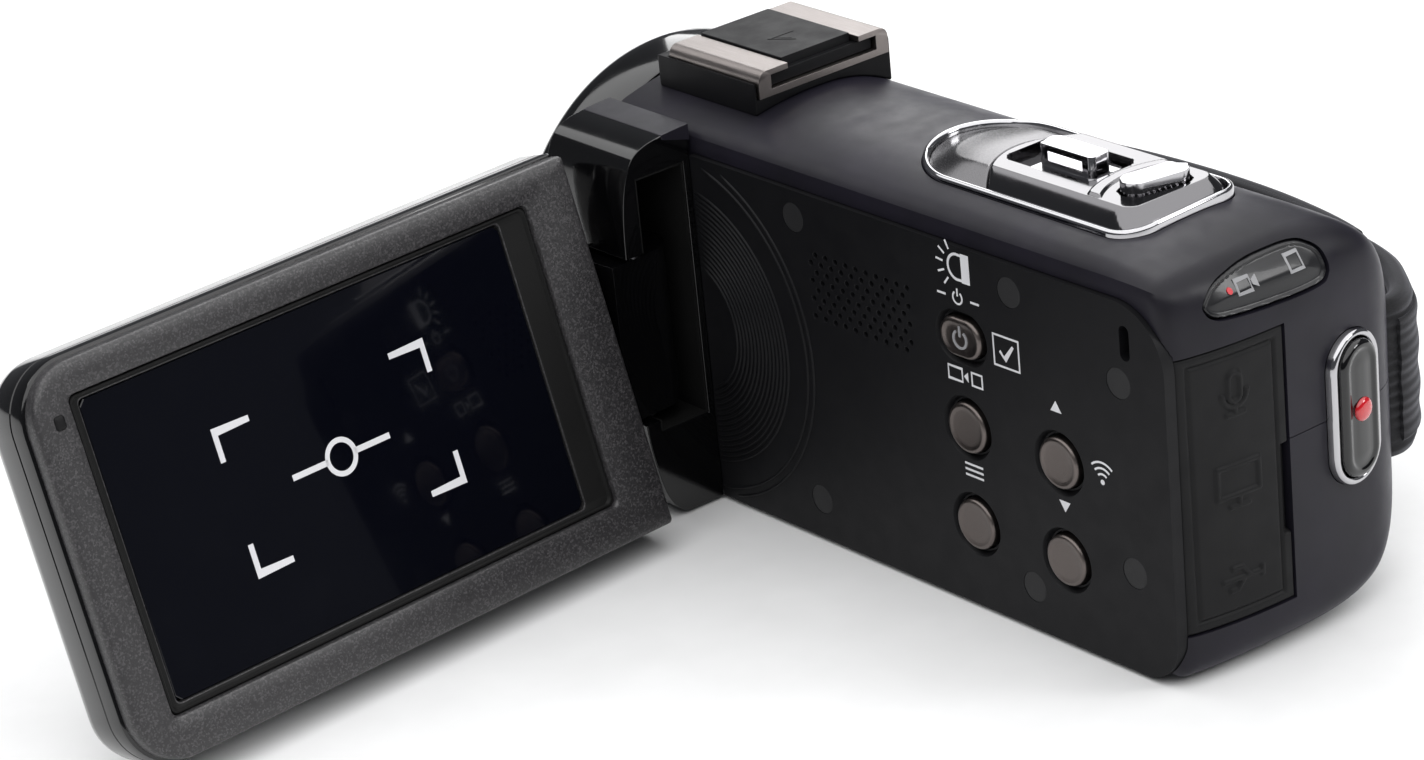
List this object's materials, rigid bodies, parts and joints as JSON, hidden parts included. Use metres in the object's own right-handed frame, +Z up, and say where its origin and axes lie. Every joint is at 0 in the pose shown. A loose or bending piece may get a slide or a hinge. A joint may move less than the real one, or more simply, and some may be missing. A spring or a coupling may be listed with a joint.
{
  "type": "handheld camcorder",
  "caption": "Compact camcorder with a flip-out, swivelling screen, a round lens drum, an accessory shoe, side buttons, a rear record button, a battery bay and a hand strap.",
  "frame": {"origin": "centre of the tripod socket's mouth, in the plane of the base", "axes": "+Z up, -Y the way the lens looks, +Y towards the operator, +X the side where the screen opens, -X the hand strap side"},
  "size_m": [0.1652, 0.126, 0.0623],
  "materials": {
    "shell_black": "fine satin texture",
    "plate_black": "fine matte texture",
    "piano_black": "polished",
    "inner_black": "plain",
    "lens_glass": "coated",
    "sensor_green": "plain",
    "board_green": "solder mask",
    "switch_metal": "plain",
    "lamp_clear": "clear",
    "shoe_steel": "brushed along the slot",
    "screw_steel": "blackened",
    "bright_trim": "mirror",
    "satin_trim": "satin",
    "button_metal": "spun, satin",
    "smoked_window": "smoked",
    "record_red": "polished",
    "rubber_black": "soft matte",
    "socket_metal": "plain",
    "contact_gold": "plated",
    "card_blue": "plain",
    "webbing_black": "ribbed webbing",
    "bezel_charcoal": "sparkle texture",
    "screen_glass": "polished",
    "flex_amber": "film"
  },
  "bodies": {
    "body": {"upper_shell": "shell_black", "lower_shell": "shell_black", "side_plate": "plate_black", "front_housing": "piano_black", "lens_barrel": "inner_black", "lens_trim_ring": "piano_black", "front_lens": "lens_glass", "rear_lens_group": "lens_glass", "image_sensor": "sensor_green", "sensor_board": "board_green", "main_board": "board_green", "button_board": "board_green", "tact_switches": "switch_metal", "speaker": "inner_black", "microphones": "switch_metal", "led_lamp": "lamp_clear", "lamp_cover": "lamp_clear", "shoe_base": "plate_black", "shoe_plate": "shoe_steel", "shoe_screws": "screw_steel", "control_bezel": "bright_trim", "control_plate": "satin_trim", "status_window": "smoked_window", "record_bezel": "bright_trim", "mic_socket": "inner_black", "hd_socket": "socket_metal", "usb_socket": "socket_metal", "battery": "inner_black", "battery_bay": "inner_black", "battery_contacts": "contact_gold", "card_slot": "socket_metal", "memory_card": "card_blue", "tripod_socket": "switch_metal", "screw_plugs": "plate_black", "shell_screws": "screw_steel", "strap_anchor_front": "switch_metal", "strap_anchor_rear": "switch_metal", "hand_strap": "webbing_black", "strap_pad": "webbing_black", "hinge_pin": "switch_metal", "flex_cable": "flex_amber"},
    "lcd_arm": {"hinge_block": "piano_black"},
    "lcd_yoke": {"swivel_shaft": "switch_metal"},
    "lcd_panel": {"lcd_bezel": "bezel_charcoal", "lcd_back_cover": "piano_black", "lcd_glass": "screen_glass", "lcd_module": "inner_black", "lcd_peg": "rubber_black"},
    "power_key": {"power_button": "button_metal"},
    "mode_key": {"mode_button": "button_metal"},
    "menu_key": {"menu_button": "button_metal"},
    "up_key": {"up_button": "button_metal"},
    "down_key": {"down_button": "button_metal"},
    "record_key": {"record_button": "piano_black", "record_dot": "record_red"},
    "photo_key": {"photo_button": "bright_trim"},
    "zoom_key": {"zoom_lever": "bright_trim"},
    "shoe_lid": {"shoe_cover": "plate_black"},
    "port_lid": {"port_cover": "rubber_black"},
    "battery_lid": {"battery_door": "shell_black"}
  },
  "joints": [
    {"name": "lcd_open", "type": "hinge", "parent": "body", "child": "lcd_arm", "pos_m": [0.0262, -0.0168, 0.0275], "axis": [0, 0, 1], "range_deg": [-3.8, 86.2]},
    {"name": "lcd_level", "type": "hinge", "parent": "lcd_arm", "child": "lcd_yoke", "pos_m": [0.0262, -0.0168, 0.0275], "axis": [0.9978, 0.0663, 0], "range_deg": [-16.5, 0.8]},
    {"name": "lcd_swivel", "type": "hinge", "parent": "lcd_yoke", "child": "lcd_panel", "pos_m": [0.0262, -0.0168, 0.0275], "axis": [0.9978, 0.0663, 0], "range_deg": [-90, 180]},
    {"name": "power_press", "type": "slide", "parent": "body", "child": "power_key", "axis": [-1, 0, 0], "range_m": [0, 0.0006], "stiffness_N_per_m": 800},
    {"name": "mode_press", "type": "slide", "parent": "body", "child": "mode_key", "axis": [-1, 0, 0], "range_m": [0, 0.0006], "stiffness_N_per_m": 800},
    {"name": "menu_press", "type": "slide", "parent": "body", "child": "menu_key", "axis": [-1, 0, 0], "range_m": [0, 0.0006], "stiffness_N_per_m": 800},
    {"name": "up_press", "type": "slide", "parent": "body", "child": "up_key", "axis": [-1, 0, 0], "range_m": [0, 0.0006], "stiffness_N_per_m": 800},
    {"name": "down_press", "type": "slide", "parent": "body", "child": "down_key", "axis": [-1, 0, 0], "range_m": [0, 0.0006], "stiffness_N_per_m": 800},
    {"name": "record_press", "type": "slide", "parent": "body", "child": "record_key", "axis": [0.1184, -0.993, 0], "range_m": [0, 0.0008], "stiffness_N_per_m": 900},
    {"name": "photo_press", "type": "slide", "parent": "body", "child": "photo_key", "axis": [0, 0, -1], "range_m": [0, 0.0008], "stiffness_N_per_m": 900},
    {"name": "zoom_slide", "type": "slide", "parent": "body", "child": "zoom_key", "axis": [0, 1, 0], "range_m": [-0.0028, 0.001], "stiffness_N_per_m": 300},
    {"name": "shoe_cover_slide", "type": "slide", "parent": "body", "child": "shoe_lid", "axis": [0, 1, 0], "range_m": [0, 0.0175]},
    {"name": "port_cover_hinge", "type": "hinge", "parent": "body", "child": "port_lid", "pos_m": [0.01725, 0.0789, 0.0258], "axis": [0, 0, -1], "range_deg": [0, 90]},
    {"name": "battery_door_hinge", "type": "hinge", "parent": "body", "child": "battery_lid", "pos_m": [0.0045, 0.0692, 0.0011], "axis": [1, 0, 0], "range_deg": [0, 90]}
  ],
  "couplings": [
    {"joint": "lcd_level", "follows": "lcd_open", "ratio": -0.19142}
  ]
}
